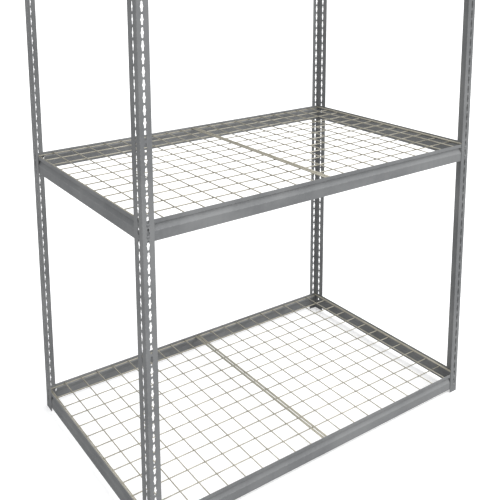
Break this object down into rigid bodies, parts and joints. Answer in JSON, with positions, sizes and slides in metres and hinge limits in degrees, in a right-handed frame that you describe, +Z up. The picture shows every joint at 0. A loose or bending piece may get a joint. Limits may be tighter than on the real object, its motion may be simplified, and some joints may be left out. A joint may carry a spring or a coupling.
{
  "type": "boltless steel shelving",
  "caption": "Free-standing boltless steel shelving: slotted angle posts, riveted beams and welded wire decks on each level.",
  "frame": {"origin": "centre of the footprint, on the floor", "axes": "+Z up, -Y towards the long front side, +X to the right seen from the front"},
  "size_m": [1.529, 0.919, 2.1336],
  "materials": {
    "grey_paint": "satin grey paint over formed steel",
    "zinc_wire": "dull zinc-plated drawn wire"
  },
  "bodies": {
    "posts": {"post_front_left": "grey_paint", "post_front_right": "grey_paint", "post_back_left": "grey_paint", "post_back_right": "grey_paint"},
    "level_bottom": {"beam_bottom_front": "grey_paint", "beam_bottom_back": "grey_paint", "beam_bottom_left": "grey_paint", "beam_bottom_right": "grey_paint"},
    "panel_bottom_left": {"deck_bottom_left": "zinc_wire"},
    "panel_bottom_right": {"deck_bottom_right": "zinc_wire"},
    "level_middle": {"beam_middle_front": "grey_paint", "beam_middle_back": "grey_paint", "beam_middle_left": "grey_paint", "beam_middle_right": "grey_paint"},
    "panel_middle_left": {"deck_middle_left": "zinc_wire"},
    "panel_middle_right": {"deck_middle_right": "zinc_wire"},
    "level_top": {"beam_top_front": "grey_paint", "beam_top_back": "grey_paint", "beam_top_left": "grey_paint", "beam_top_right": "grey_paint"},
    "panel_top_left": {"deck_top_left": "zinc_wire"},
    "panel_top_right": {"deck_top_right": "zinc_wire"}
  },
  "joints": [
    {"name": "level_bottom_unlock", "type": "slide", "parent": "posts", "child": "level_bottom", "axis": [0, 0, 1], "range_m": [0, 0.012]},
    {"name": "panel_bottom_left_lift", "type": "slide", "parent": "level_bottom", "child": "panel_bottom_left", "axis": [0, 0, 1], "range_m": [0, 0.15]},
    {"name": "panel_bottom_right_lift", "type": "slide", "parent": "level_bottom", "child": "panel_bottom_right", "axis": [0, 0, 1], "range_m": [0, 0.15]},
    {"name": "level_middle_unlock", "type": "slide", "parent": "posts", "child": "level_middle", "axis": [0, 0, 1], "range_m": [0, 0.012]},
    {"name": "panel_middle_left_lift", "type": "slide", "parent": "level_middle", "child": "panel_middle_left", "axis": [0, 0, 1], "range_m": [0, 0.15]},
    {"name": "panel_middle_right_lift", "type": "slide", "parent": "level_middle", "child": "panel_middle_right", "axis": [0, 0, 1], "range_m": [0, 0.15]},
    {"name": "level_top_unlock", "type": "slide", "parent": "posts", "child": "level_top", "axis": [0, 0, 1], "range_m": [0, 0.012]},
    {"name": "panel_top_left_lift", "type": "slide", "parent": "level_top", "child": "panel_top_left", "axis": [0, 0, 1], "range_m": [0, 0.15]},
    {"name": "panel_top_right_lift", "type": "slide", "parent": "level_top", "child": "panel_top_right", "axis": [0, 0, 1], "range_m": [0, 0.15]}
  ]
}
